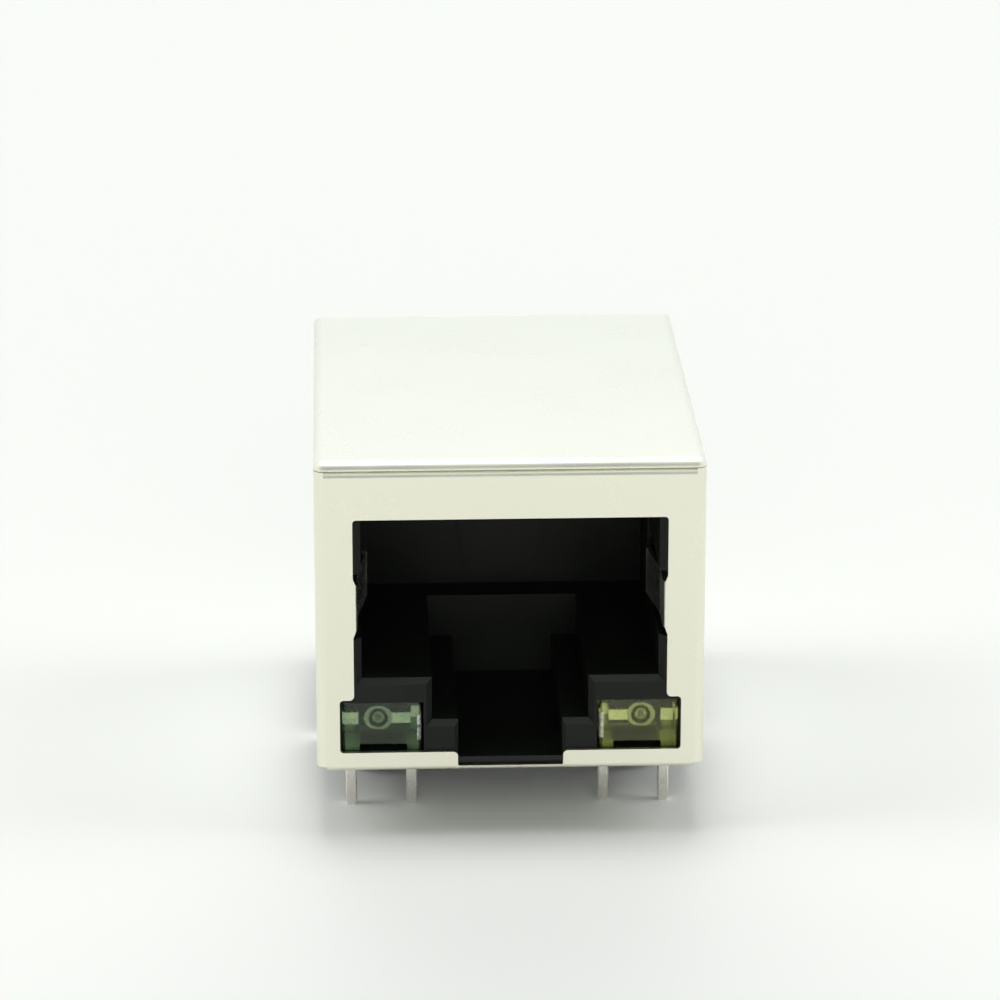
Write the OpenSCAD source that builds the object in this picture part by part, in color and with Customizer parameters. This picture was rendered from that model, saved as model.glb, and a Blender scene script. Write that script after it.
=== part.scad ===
// Shielded board jack for an eight-way modular plug, with its magnetics inside and two indicators.
// The origin is midway between the two locating pegs, on the board's surface. +X is to the right as
// seen from the plug's side, +Y runs away from the plug, and +Z is up from the board.

/* [Overall] */
// Width across the shield
body_w = 15.95; // [15.8:0.05:19.5]
// Length from the front panel to the back plate
body_l = 21.3; // [20.8:0.1:26]
// Height of the shield above the board
body_h = 13.4; // [13.3:0.1:16.5]
// Distance from the front panel back to the locating pegs
front_to_pegs = 8.4; // [8.2:0.05:8.6]

/* [Shield] */
// Thickness of the sheet metal
sheet_t = 0.2; // [0.15:0.01:0.25]
// Outside radius of the front shield's two upright bends
side_bend_r = 0.4; // [0.3:0.05:0.5]
// Outside radius of the bend along the panel's top
lip_bend_r = 0.3; // [0.28:0.02:0.4]
// Inside radius of the bend along the panel's foot
foot_inner_r = 0.04; // [0.02:0.01:0.1]
// Outside radius of the top cover's rounded edges
cover_bend_r = 0.38; // [0.3:0.02:0.5]
// Length of the side wings, from the front panel back
wing_l = 7.7; // [6.8:0.1:9]
// Length of the lip folded under the housing
lip_l = 2.4; // [1.8:0.1:2.8]
// Length of the flange folded back under the top cover
flange_l = 1.5; // [1:0.1:2.2]
// Gap left at the seams between the two stampings
seam_gap = 0.03; // [0.02:0.01:0.1]
// Width of each ground tab
tab_w = 1.5; // [1.2:0.1:1.8]
// Distance of the ground tabs behind the pegs
tab_to_pegs = 3.05; // [2.6:0.05:3.5]

/* [Side springs] */
// Height of a side spring, where it leaves the panel
spring_h = 1.95; // [1.4:0.05:2.2]
// Height of the side springs' middle above the board
spring_z = 7.12; // [6.9:0.02:7.4]
// How far a spring's root stands in from the window's edge
spring_inset = 0.19; // [0.12:0.01:0.24]

/* [Plug cavity] */
// Width of the cavity
cavity_w = 12.2; // [11.9:0.05:12.3]
// Height of the cavity
cavity_h = 6.85; // [6.7:0.05:6.9]
// Height of the cavity's floor above the board
cavity_floor_z = 3.95; // [3.85:0.05:4]
// Depth of the cavity from the front panel
cavity_l = 12; // [11.6:0.1:12.2]
// Lead-in chamfer around the mouth
mouth_chamfer = 0.24; // [0.15:0.01:0.28]
// Lead-in chamfer around the latch slot
latch_chamfer = 0.14; // [0.1:0.01:0.2]
// Width of the slot for the shoulders of the plug's latch
shoulder_slot_w = 6.44; // [6.2:0.02:6.6]
// Height of that slot's floor above the board
shoulder_slot_z = 2.1; // [1.9:0.05:2.3]
// Width of the slot for the tip of the latch
latch_slot_w = 4.3; // [4:0.05:4.6]
// Height of that slot's floor above the board
latch_slot_z = 0.46; // [0.44:0.01:0.6]
// Length of the latch slots from the front panel
latch_slot_l = 10.4; // [9.5:0.1:10.8]

/* [Indicators] */
// Distance between the middles of the two lenses
lens_pitch = 10.6; // [10.5:0.02:10.8]
// Width of a lens
lens_w = 3.26; // [2.8:0.02:3.92]
// Height of a lens
lens_h = 2.1; // [1.9:0.05:2.2]
// Length of a lens, front to back
lens_l = 3; // [2.8:0.05:3.2]
// Height of a lens's feet above the board
lens_z = 0.8; // [0.75:0.01:0.9]
// Distance of a lens's face behind the front panel's face
lens_recess = 0.35; // [0.3:0.01:0.45]
// Room between a lens and the inner side of its pocket
lens_side_gap = 0.1; // [0.03:0.01:0.12]
// Distance between the two leads of one indicator
lead_pitch = 2.54; // [2.4:0.01:2.6]
// Distance between the middles of the two pairs of leads
lead_pair_pitch = 10.6; // [10.5:0.01:10.7]
// Distance of the leads in front of the pegs
lead_to_pegs = 4.69; // [4.6:0.01:4.8]
// Width of a lead
lead_w = 0.46; // [0.4:0.01:0.6]
// Thickness of a lead
lead_t = 0.4; // [0.3:0.01:0.45]

/* [Contacts] */
// Diameter of a contact wire
contact_d = 0.45; // [0.35:0.01:0.55]
// Distance between neighbouring contacts
contact_pitch = 1.016; // [1:0.001:1.03]
// Slope of the free arms below the horizontal
contact_slope = 18; // [16:0.5:19]
// Length of the straight part of a free arm
contact_arm_l = 6.5; // [6:0.1:6.8]

/* [Board side] */
// Distance between the two locating pegs
peg_pitch = 11.43; // [11:0.01:11.8]
// Diameter of a peg
peg_d = 3.15; // [3:0.05:3.2]
// Length of a peg below the board's surface
peg_l = 2.5; // [2:0.1:2.7]
// Length of every pin and tab below the board's surface
pin_l = 2.9; // [2.6:0.05:3.4]
// Diameter of a board pin
pin_d = 0.5; // [0.4:0.01:0.56]
// Sideways distance from one board pin to the next
pin_pitch = 1.27; // [1.2:0.01:1.4]
// Distance of the near row of board pins behind the pegs
near_row_y = 6.35; // [6.3:0.01:6.8]
// Distance of the far row of board pins behind the pegs
far_row_y = 8.89; // [8.4:0.01:9.4]

/* [Magnetics] */
// Wall of the magnetics case
case_wall = 0.5; // [0.4:0.05:0.6]
// Width of the ring section of a core
core_ring_w = 1.15; // [0.9:0.05:1.3]
// How much smaller a choke core is than a transformer core
choke_step = 0.7; // [0.4:0.1:1]
// Thickness of the winding over a core
winding_t = 0.25; // [0.2:0.01:0.3]
// Turns drawn in each winding
turns = 14; // [10:1:16]
// Thickness of the inner board
board_t = 0.6; // [0.5:0.1:0.8]

/* [Hidden] */
$fn = 48;
fit_clr = 0.03;                 // clearance between pieces that seat in each other
over = 0.5;                     // how far a cutting shape runs past what it cuts
bend_lap = 0.02;                // how far the straight parts of a formed piece run into its bends
bend_swell = 1.008;             // size of a bend's section against the straight part's
contact_count = 8;
pin_count = 8;
contact_names = [for (i = [1:contact_count]) str("contact_", i)];
pin_names = [for (i = [1:pin_count]) str("board_pin_", i)];
SIDES = ["left", "right"];      // an index of 0 is the -X side, and 1 is the +X side
lead_names = [for (s = SIDES, p = ["cup", "post"]) str("indicator_", s, "_", p, "_lead")];

front_y = -front_to_pegs;
back_y = front_y + body_l;
inside_w = body_w - 2 * sheet_t;
side_wall_z = sheet_t;                              // lower edge of the side walls

// Heights that follow the plug cavity
cavity_top_z = cavity_floor_z + cavity_h;
loop_r = 0.72;                                      // centre line of the loop round the insert's nose
nose_r = loop_r - contact_d / 2 - fit_clr;
tongue_z = cavity_top_z + 0.5;                      // underside of the insert's tongue
loop_z = tongue_z + nose_r;
contact_top_z = loop_z + loop_r;
insert_top_z = contact_top_z + contact_d / 2 + 0.1;
roof_z = insert_top_z + fit_clr;                    // underside of the housing's roof

// Indicators: the two leads on the +X side, the cup's first, and the lead frame inside the lens
lens_x = lens_pitch / 2;
lens_y = front_y + lens_recess;
lens_top_z = lens_z + lens_h;
lead_xs = [for (way = [-1, 1]) (lead_pair_pitch + way * lead_pitch) / 2];
frame_y = lens_y + 1;
frame_z = lens_z + 1.15;
frame_t = 0.3;
arm_x = lead_xs[0] + 0.09;                          // inner end of the arm that carries the cup
arm_h = 0.44;
cup_x = lens_x + 0.13;
cup_size = [1.15, 0.96];                            // the oval that the cup is sunk in
cup_depth = 0.14;
post_w = 0.5;
post_x = lead_xs[1] - 0.08;
anchor_l = 0.9;                                     // length of the notches that hold the leads in the lens
lead_bend_r = 0.3;

// Front shield
panel_top_z = body_h - cover_bend_r - seam_gap;
window_w = cavity_w + 0.65;
window_top_z = cavity_top_z + 0.13;
window_r = 0.15;
point_r = 0.2;                                      // rounding of the corners that point into the window
lens_window_w = lens_pitch + lens_w + 0.18;
lens_window_z = lens_z + 0.02;
lens_window_top_z = lens_top_z + 0.23;
notch_w = latch_slot_w + 0.04;
spring_x = window_w / 2 - spring_inset;             // inner face of a spring at its root
spring_bend_r = sheet_t + 0.06;                     // outside radius of a spring's bend at its root
catch_y = front_y + 4.6;                            // middle of the catches that hold the wings
catch_z = 5;
catch_l = 1.6;
catch_h = 1.2;

// Housing
housing_w = inside_w - 2 * fit_clr;
housing_y = front_y + sheet_t + fit_clr;
housing_top_z = body_h - sheet_t - fit_clr;
lip_end_y = front_y + lip_l;
flange_end_y = front_y + flange_l;
cavity_back_y = front_y + cavity_l;
rear_wall_t = 0.8;
pad_t = 0.3;                                        // how far the stop pad stands off the rear wall
chamber_y = cavity_back_y + rear_wall_t;
chamber_back_y = back_y - sheet_t - 0.1;
chamber_wall_t = 0.7;
chamber_w = housing_w - 2 * chamber_wall_t;
insert_slot_w = (contact_count + 0.76) * contact_pitch;
spring_slot_h = spring_h + 0.85;
spring_slot_x = spring_x + 0.75;
spring_slot_l = 7.6;

// Top cover's back plate, which has ears folded forward inside the side walls
ear_l = 2.2;
ear_w = inside_w - 2 * fit_clr;                     // outside width over the ears
ear_y = back_y - ear_l;
plate_z = 0.15;
latch_w = 1.8;                                      // catches that hold the pin base
latch_h = 1;
latch_x = 4.5;
latch_z = 1.4;

// Contact insert
block_y = chamber_y + 0.05;
block_l = 1.75;
block_z = 5;
block_w = insert_slot_w + 0.6;
leg_y = [chamber_y + 0.6, chamber_y + 1.3];         // the legs stand in two staggered rows
leg_bend_r = 0.6;
nose_y = chamber_y - 8.4;                           // centre of the nose
comb_z = 8.35;
comb_l = 2.35;
groove_w = contact_d + 4 * fit_clr;

// Pin base, inner board and magnetics case
base_w = chamber_w - 2 * fit_clr;
base_y = chamber_y + 0.1;
base_back_y = chamber_back_y - fit_clr;
base_plate_t = 1.5;
base_rim_t = 0.6;
collar_d = pin_d + 0.4;                             // collar of a board pin
board_z = 3;
board_top_z = board_z + board_t;
tail_end_z = board_z - 0.6;
pin_top_z = board_top_z + 0.6;
case_y = block_y + block_l + 0.3;
case_back_y = chamber_back_y - 0.15;
case_w = chamber_w - 0.3;
case_foot_l = 2;
case_z = board_top_z + case_foot_l;
case_top_z = roof_z - 0.1;
bay_w = (case_w - 3 * case_wall) / 2;
bay_l = case_back_y - case_y - case_wall;
bay_h = (case_top_z - case_z - 3 * case_wall) / 2;
bay_x = (bay_w + case_wall) / 2;
bay_y = case_back_y - bay_l / 2;
winding_clr = 0.12;                                 // room left around a winding
core_d = min(bay_w, bay_l) - 2 * (winding_t + winding_clr);
core_h = bay_h - 2 * (winding_t + winding_clr);

// ---- helpers ----

// A block given by its two opposite corners
module block(low, high) {
    translate(low)
        cube(high - low);
}

// A section drawn in Y and Z, made w wide and centred on X
module along_x(w) {
    rotate([90, 0, 90])
        linear_extrude(w, center = true)
            children();
}

// An outline drawn in X and Z, made solid from y0 to y1
module along_y(y0, y1) {
    translate([0, y1, 0])
        rotate([90, 0, 0])
            linear_extrude(y1 - y0)
                children();
}

// Both sides of the jack: the child is drawn for the +X side
module both_sides() {
    children();
    mirror([1, 0, 0])
        children();
}

// Upright rectangle with rounded corners
module rounded_rect(low, high, r) {
    translate([low.x + r, low.y])
        square([high.x - low.x - 2 * r, high.y - low.y]);
    translate([low.x, low.y + r])
        square([high.x - low.x, high.y - low.y - 2 * r]);
    for (x = [low.x + r, high.x - r], y = [low.y + r, high.y - r])
        translate([x, y])
            circle(r);
}

// Rectangle from the X axis to y = l, with its two corners on the X axis rounded
module front_rounded(w, l, r) {
    translate([-w / 2, r])
        square([w, l - r]);
    translate([r - w / 2, 0])
        square([w - 2 * r, l]);
    for (s = [-1, 1])
        translate([s * (w / 2 - r), r])
            circle(r);
}

// Sheet bent round two corners, seen along the bends
module wrap(w, l, r) {
    difference() {
        front_rounded(w, l, r);
        translate([0, sheet_t])
            front_rounded(w - 2 * sheet_t, l, r - sheet_t);
    }
}

// Quarter of a bend in the sheet, with its centre at the origin, in the +X +Y quarter
module quarter_bend(r) {
    intersection() {
        difference() {
            circle(r);
            circle(r - sheet_t);
        }
        square(r);
    }
}

// Formed wire or strip that starts at the origin along +Z. Each step is ["go", length] or
// ["turn", degrees towards +X, radius of the centre line]. The child is the cross-section. The
// straight parts run a little way into the bends, whose section is very slightly larger.
module formed(steps, i = 0) {
    if (i < len(steps)) {
        step = steps[i];
        if (step[0] == "go") {
            before = i > 0 ? bend_lap : 0;
            after = i < len(steps) - 1 ? bend_lap : 0;
            translate([0, 0, -before])
                linear_extrude(step[1] + before + after)
                    children();
            translate([0, 0, step[1]])
                formed(steps, i + 1)
                    children();
        } else {
            way = sign(step[1]);
            angle = abs(step[1]);
            r = step[2];
            translate([way * r, 0, 0])
                rotate([90, 0, way > 0 ? 180 : 0])
                    rotate_extrude(angle = angle)
                        translate([r, 0])
                            scale(bend_swell)
                                children();
            translate([way * r * (1 - cos(angle)), 0, r * sin(angle)])
                rotate([0, step[1], 0])
                    formed(steps, i + 1)
                        children();
        }
    }
}

// ---- front shield ----

// Window in the panel: the plug's opening, the two lens openings and the notch for the latch. The
// metal stands in a little at the springs, and is cut back where their bends start.
module window_outline() {
    low = spring_z - spring_h / 2;
    high = spring_z + spring_h / 2;
    relief = 0.3;
    ear_x = spring_x + 0.3 * spring_bend_r;         // where the sloping edges reach the bends
    difference() {
        union() {
            rounded_rect([-window_w / 2, lens_window_z + window_r],
                         [window_w / 2, window_top_z], window_r);
            rounded_rect([-lens_window_w / 2, lens_window_z],
                         [lens_window_w / 2, lens_window_top_z], window_r);
            rounded_rect([-notch_w / 2, sheet_t],
                         [notch_w / 2, lens_window_top_z], window_r / 2);
            both_sides() {
                outer_corner([window_w / 2, lens_window_top_z], 1);
                outer_corner([notch_w / 2, lens_window_z], -1);
            }
        }
        both_sides()
            polygon([
                [window_w / 2 + over, low - relief],
                [window_w / 2, low - relief],
                [ear_x, low],
                [ear_x, high],
                [window_w / 2, high + relief],
                [window_w / 2 + over, high + relief]
            ]);
    }
    both_sides()
        translate([spring_x, low])
            square([spring_bend_r, spring_h]);
}

// What rounds off a corner of metal that points into the window
module outer_corner(corner, up) {
    translate([corner.x, min(corner.y, corner.y + up * point_r)])
        difference() {
            square(point_r);
            translate([point_r, up > 0 ? point_r : 0])
                circle(point_r);
        }
}

// Section of the panel with its folded lip and flange
module panel_section() {
    r = lip_bend_r;
    foot_r = sheet_t + foot_inner_r;
    translate([0, foot_r])
        square([sheet_t, panel_top_z - r - foot_r]);
    translate([foot_r, foot_r])
        rotate(180)
            quarter_bend(foot_r);
    translate([foot_r, 0])
        square([lip_l - foot_r, sheet_t]);
    translate([r, panel_top_z - r])
        rotate(90)
            quarter_bend(r);
    translate([r, panel_top_z - sheet_t])
        square([flange_l - r, sheet_t]);
}

// Side spring, folded back from the window's edge and bowed towards the plug
module side_spring() {
    lead_in = 0.05;
    bow = [
        ["go", lead_in],
        ["turn", 90, spring_bend_r - sheet_t / 2],
        ["go", 1.4],
        ["turn", -9, 1.5],
        ["go", 2.4],
        ["turn", 24, 1.2],
        ["go", 1.1]
    ];
    translate([spring_x + spring_bend_r + lead_in, front_y + sheet_t / 2, spring_z])
        rotate([-90, 0, 90])
            formed(bow)
                square([sheet_t, spring_h], center = true);
}

module front_shield() {
    color("gainsboro") {
        difference() {
            translate([0, front_y, 0])
                union() {
                    difference() {
                        translate([0, 0, side_wall_z])
                            linear_extrude(panel_top_z - side_wall_z)
                                wrap(body_w, wing_l, side_bend_r);
                        block([side_bend_r - body_w / 2, -over, -over],
                              [body_w / 2 - side_bend_r, over, lip_bend_r]);
                        block([side_bend_r - body_w / 2, -over, panel_top_z - lip_bend_r],
                              [body_w / 2 - side_bend_r, over, body_h]);
                    }
                    along_x(body_w - 2 * side_bend_r)
                        panel_section();
                }
            along_y(front_y - over, front_y + lip_bend_r + fit_clr)
                window_outline();
            both_sides()
                block([inside_w / 2 - over, catch_y - catch_l / 2, catch_z - catch_h / 2],
                      [body_w / 2 + over, catch_y + catch_l / 2, catch_z + catch_h / 2]);
        }
        both_sides()
            side_spring();
    }
}

// ---- top cover ----

// Section of the cover across the jack: top plate, rounded edges and side walls
module cover_section() {
    translate([0, body_h])
        rotate(180)
            wrap(body_w, body_h - side_wall_z, cover_bend_r);
}

// Everything inside that section's outer line
module cover_outline() {
    translate([0, body_h])
        rotate(180)
            front_rounded(body_w, body_h - side_wall_z, cover_bend_r);
}

// Everything inside the cover's outer line along the jack, from its front bend back
module cover_side_outline() {
    r = cover_bend_r;
    translate([front_y + r, 0])
        square([body_l - 2 * r, body_h]);
    translate([back_y - r - over, 0])
        square([r + over, body_h - r]);
    translate([back_y - r, body_h - r])
        circle(r);
}

// Ground tab, a strip of the side wall with a tapered end
module ground_tab() {
    tip_w = tab_w * 0.45;
    taper_l = 0.7;
    translate([body_w / 2 - sheet_t / 2, tab_to_pegs, 0])
        along_x(sheet_t)
            polygon([
                [-tab_w / 2, side_wall_z + over],
                [tab_w / 2, side_wall_z + over],
                [tab_w / 2, taper_l - pin_l],
                [tip_w / 2, -pin_l],
                [-tip_w / 2, -pin_l],
                [-tab_w / 2, taper_l - pin_l]
            ]);
}

module top_cover() {
    r = cover_bend_r;
    dimple_z = 4.2;
    dimple_y = back_y - 1.3;
    color("gainsboro") {
        difference() {
            intersection() {
                along_y(front_y + r, back_y)
                    cover_section();
                along_x(body_w + over)
                    cover_side_outline();
            }
            both_sides() {
                block([body_w / 2 - sheet_t - over, front_y, -over],
                      [body_w / 2 + over, front_y + wing_l + seam_gap, body_h - r]);
                translate([body_w / 2, dimple_y, dimple_z])
                    rotate([0, 90, 0])
                        cylinder(h = 2 * over, d = 1.2, center = true);
            }
        }
        // rounded front edge, which ends above the panel, with a drawn corner at each end
        translate([0, front_y + r, body_h - r]) {
            along_x(body_w - 2 * r)
                rotate(90)
                    quarter_bend(r);
            both_sides()
                translate([body_w / 2 - r, 0, 0])
                    rotate([0, 0, -90])
                        rotate_extrude(angle = 90)
                            quarter_bend(r);
        }
        // rounded rear edge, mitred into the side edges, and the back plate with its ears
        intersection() {
            translate([0, back_y - r, body_h - r])
                along_x(body_w)
                    quarter_bend(r);
            along_y(back_y - r - over, back_y + over)
                cover_outline();
        }
        difference() {
            translate([0, back_y, plate_z])
                linear_extrude(body_h - r - plate_z)
                    mirror([0, 1])
                        wrap(ear_w, ear_l, r);
            both_sides()
                block([latch_x - latch_w / 2, back_y - over, latch_z - latch_h / 2],
                      [latch_x + latch_w / 2, back_y + over, latch_z + latch_h / 2]);
        }
        // dimples in the ears that snap into the holes of the side walls
        both_sides()
            translate([ear_w / 2 - sheet_t / 2, dimple_y, dimple_z])
                rotate([0, 90, 0])
                    cylinder(h = sheet_t / 2 + 0.12, d1 = 1.05, d2 = 0.7);
        both_sides()
            ground_tab();
    }
}

// ---- housing ----

// Hollow that is w wide from z0 to z1, whose mouth at the housing's front has a chamfer of c
module mouthed_hollow(w, z0, z1, l, c) {
    e = over;
    block([-w / 2, housing_y - e, z0],
          [w / 2, front_y + l, z1]);
    intersection() {
        translate([0, housing_y, z0 - 2 * e])
            linear_extrude(z1 - z0 + 4 * e)
                polygon([[-w / 2 - c - e, -e], [w / 2 + c + e, -e], [w / 2, c], [-w / 2, c]]);
        along_x(w + 4 * e)
            translate([housing_y, 0])
                polygon([[-e, z0 - c - e], [c, z0], [c, z1], [-e, z1 + c + e]]);
    }
}

// Pocket for one indicator, open at the front, with a slot below for each lead
module lens_pocket() {
    pocket_back_y = -lead_to_pegs + lead_t / 2 + 0.08;
    block([lens_x - lens_w / 2 - lens_side_gap, housing_y - over, lens_z - fit_clr],
          [lens_x + lens_w / 2 + fit_clr, pocket_back_y, lens_top_z + fit_clr]);
    for (x = lead_xs)
        block([x - lead_w / 2 - 0.06, -lead_to_pegs - lead_t / 2 - 0.08, -over],
              [x + lead_w / 2 + 0.06, pocket_back_y, lens_z]);
}

// Slot in the cavity's wall that a side spring lies in
module spring_slot() {
    block([cavity_w / 2 - over, housing_y - over, spring_z - spring_slot_h / 2],
          [spring_slot_x, front_y + spring_slot_l, spring_z + spring_slot_h / 2]);
}

// Catch that a wing's opening snaps over, a wedge that rises to the rear
module wing_catch() {
    rise = sheet_t;
    translate([housing_w / 2, catch_y, catch_z - catch_h / 2 + 0.05])
        linear_extrude(catch_h - 0.1)
            polygon([
                [-over, 0.05 - catch_l / 2],
                [0, 0.05 - catch_l / 2],
                [rise, catch_l / 2 - 0.35],
                [rise, catch_l / 2 - 0.05],
                [-over, catch_l / 2 - 0.05]
            ]);
}

// Locating peg with a chamfered tip
module peg() {
    tip = 0.4;
    translate([peg_pitch / 2, 0, tip - peg_l])
        cylinder(h = peg_l, d = peg_d);
    translate([peg_pitch / 2, 0, -peg_l])
        cylinder(h = tip, d1 = peg_d - 2 * tip, d2 = peg_d);
}

// Raised pad on the cavity's rear wall that the plug's nose stops against
module stop_pad() {
    top_w = 3.7;
    foot_w = 3.1;
    foot_z = cavity_floor_z + 0.75;
    top_z = cavity_floor_z + 2.95;
    along_y(cavity_back_y - pad_t, cavity_back_y + fit_clr)
        polygon([
            [-foot_w / 2, foot_z],
            [foot_w / 2, foot_z],
            [top_w / 2, top_z],
            [-top_w / 2, top_z]
        ]);
}

// Moulded block, rounded at its front corners and chamfered where the cover bends over it
module housing_blank() {
    chamfer = cover_bend_r - sheet_t;
    intersection() {
        translate([0, housing_y, 0])
            linear_extrude(housing_top_z)
                front_rounded(housing_w, chamber_back_y - housing_y, side_bend_r - sheet_t);
        along_y(housing_y - over, chamber_back_y + over)
            polygon([
                [-housing_w / 2, -over],
                [housing_w / 2, -over],
                [housing_w / 2, housing_top_z - chamfer],
                [housing_w / 2 - chamfer, housing_top_z],
                [chamfer - housing_w / 2, housing_top_z],
                [-housing_w / 2, housing_top_z - chamfer]
            ]);
    }
}

module housing() {
    color("#1e1f1e") {
        difference() {
            union() {
                housing_blank();
                both_sides() {
                    peg();
                    wing_catch();
                }
            }
            mouthed_hollow(cavity_w, cavity_floor_z, cavity_top_z, cavity_l, mouth_chamfer);
            mouthed_hollow(shoulder_slot_w, shoulder_slot_z, cavity_floor_z + 1, latch_slot_l, mouth_chamfer);
            mouthed_hollow(latch_slot_w, latch_slot_z, shoulder_slot_z + 1, latch_slot_l, latch_chamfer);
            both_sides() {
                lens_pocket();
                spring_slot();
                // room for the back plate's ears
                block([ear_w / 2 - sheet_t - fit_clr, ear_y - fit_clr, -over],
                      [body_w / 2, back_y, body_h]);
            }
            // room for the folded lip and the folded flange
            block([-body_w / 2, front_y, -over],
                  [body_w / 2, lip_end_y + fit_clr, sheet_t + fit_clr]);
            block([-body_w / 2, front_y, panel_top_z - sheet_t - fit_clr],
                  [body_w / 2, flange_end_y + fit_clr, body_h]);
            // slot above the cavity that the contact insert slides into
            block([-insert_slot_w / 2, nose_y - loop_r - contact_d / 2 - 0.4, cavity_top_z - over],
                  [insert_slot_w / 2, chamber_y + over, roof_z]);
            block([-insert_slot_w / 2, cavity_back_y - over, comb_z - fit_clr],
                  [insert_slot_w / 2, chamber_y + over, roof_z]);
            // chamber for the magnetics, open below and at the back
            block([-chamber_w / 2, chamber_y, -over],
                  [chamber_w / 2, back_y, roof_z]);
        }
        stop_pad();
    }
}

// ---- indicators ----

// Puts the child, drawn for the +X side, on the side with that index
module on_side(side) {
    mirror([side == 0 ? 1 : 0, 0, 0])
        children();
}

// Section of a lead: a strip with its edges broken
module lead_section() {
    edge = 0.05;
    t = lead_t / 2;
    w = lead_w / 2;
    polygon([
        [-t, edge - w],
        [edge - t, -w],
        [t - edge, -w],
        [t, edge - w],
        [t, w - edge],
        [t - edge, w],
        [edge - t, w],
        [-t, w - edge]
    ]);
}

// One lead from the lead frame back, down and through the board, narrowed at its tip
module lead_tail(x) {
    run = -lead_to_pegs - frame_y - lead_bend_r;
    tip_l = 0.25;
    narrow = 0.08;
    side = lead_w / 2;
    intersection() {
        translate([x, frame_y, frame_z])
            rotate([-90, 0, 0])
                rotate([0, 0, 90])
                    formed([
                        ["go", run],
                        ["turn", 90, lead_bend_r],
                        ["go", frame_z + pin_l - lead_bend_r]
                    ])
                        lead_section();
        along_y(frame_y - over, over)
            polygon([
                [x - side - narrow, frame_z + lead_w],
                [x + side + narrow, frame_z + lead_w],
                [x + side + narrow, 2 * tip_l - pin_l],
                [x + side - narrow, -pin_l],
                [x - side + narrow, -pin_l],
                [x - side - narrow, 2 * tip_l - pin_l]
            ]);
    }
}

// Outline of the arm that carries the cup, and of the oval round the cup, grown by gap
module cup_outline(gap) {
    h = cup_size.y + 2 * gap;
    step = (cup_size.x - cup_size.y) / 2;
    for (x = [cup_x - step, cup_x + step])
        translate([x, frame_z])
            circle(d = h);
    translate([cup_x, frame_z])
        square([2 * step, h], center = true);
    translate([arm_x - gap, frame_z - arm_h / 2 - gap])
        square([cup_x - arm_x + gap, arm_h + 2 * gap]);
}

// Outline of the square post, grown by gap
module post_outline(gap) {
    translate([post_x, frame_z])
        square(post_w + 2 * gap, center = true);
}

// The two notches that key the leads into the lens: inside the cup's lead, outside the post's lead
module anchor_notches(gap) {
    low_z = frame_z - lead_t;
    high_z = frame_z + lead_t;
    block([lead_xs[0] - lead_w, frame_y - over, low_z],
          [arm_x - gap, frame_y + anchor_l - gap, high_z]);
    block([post_x + post_w / 2 + gap, frame_y - over, low_z],
          [lead_xs[1] + lead_w, frame_y + anchor_l - gap, high_z]);
}

// Lead with the round cup that holds the light-emitting chip
module cup_lead(side) {
    color("silver")
        on_side(side)
            difference() {
                union() {
                    lead_tail(lead_xs[0]);
                    along_y(frame_y, frame_y + frame_t)
                        cup_outline(0);
                }
                translate([cup_x, frame_y - fit_clr, frame_z])
                    rotate([-90, 0, 0])
                        cylinder(h = cup_depth + fit_clr, d1 = cup_size.y - 0.1, d2 = cup_size.y - 0.5);
                anchor_notches(0);
            }
}

// Lead that ends in a square post, which the bond wire goes to
module post_lead(side) {
    color("silver")
        on_side(side)
            difference() {
                union() {
                    lead_tail(lead_xs[1]);
                    along_y(frame_y, frame_y + frame_t)
                        post_outline(0);
                }
                anchor_notches(0);
            }
}

// Light-emitting chip on the floor of the cup
module light_chip(side) {
    chip = [0.24, 0.1, 0.24];
    color("khaki")
        on_side(side)
            translate([cup_x - chip.x / 2, frame_y + cup_depth - chip.y, frame_z - chip.z / 2])
                cube(chip);
}

// Clear lens: a block with rounded front edges and two feet, with the lead frame cast into it
module lens(side) {
    edge_r = 0.18;
    inner_foot_w = 0.6;
    outer_foot_w = 0.72;
    foot_h = 0.26;
    color(["seagreen", "yellowgreen"][side], 0.6)
        on_side(side)
            difference() {
                translate([lens_x, lens_y, lens_z])
                    linear_extrude(lens_h)
                        front_rounded(lens_w, lens_l, edge_r);
                block([lens_x - lens_w / 2 + inner_foot_w, lens_y - over, lens_z - over],
                      [lens_x + lens_w / 2 - outer_foot_w, lens_y + lens_l + over, lens_z + foot_h]);
                // the lead frame's own space
                along_y(frame_y, frame_y + frame_t + fit_clr) {
                    cup_outline(fit_clr);
                    post_outline(fit_clr);
                }
                difference() {
                    for (x = lead_xs)
                        block([x - lead_w / 2 - fit_clr, frame_y, frame_z - lead_t / 2 - fit_clr],
                              [x + lead_w / 2 + fit_clr, lens_y + lens_l + over,
                               frame_z + lead_t / 2 + fit_clr]);
                    anchor_notches(fit_clr);
                }
            }
}

// ---- contacts ----

function contact_x(i) = (i - (contact_count + 1) / 2) * contact_pitch;
function contact_leg_y(i) = leg_y[(i + 1) % 2];

// One formed contact: leg, run over the tongue, loop round the nose, free arm and upturned tip
module contact(i) {
    leg_l = contact_top_z - leg_bend_r - tail_end_z;
    run_l = contact_leg_y(i) - leg_bend_r - nose_y;
    color("goldenrod")
        translate([contact_x(i), contact_leg_y(i), tail_end_z])
            rotate([0, 0, -90])
                formed([
                    ["go", leg_l],
                    ["turn", 90, leg_bend_r],
                    ["go", run_l],
                    ["turn", 180 - contact_slope, loop_r],
                    ["go", contact_arm_l],
                    ["turn", -12, 1],
                    ["go", 0.35]
                ])
                    circle(d = contact_d);
}

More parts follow.
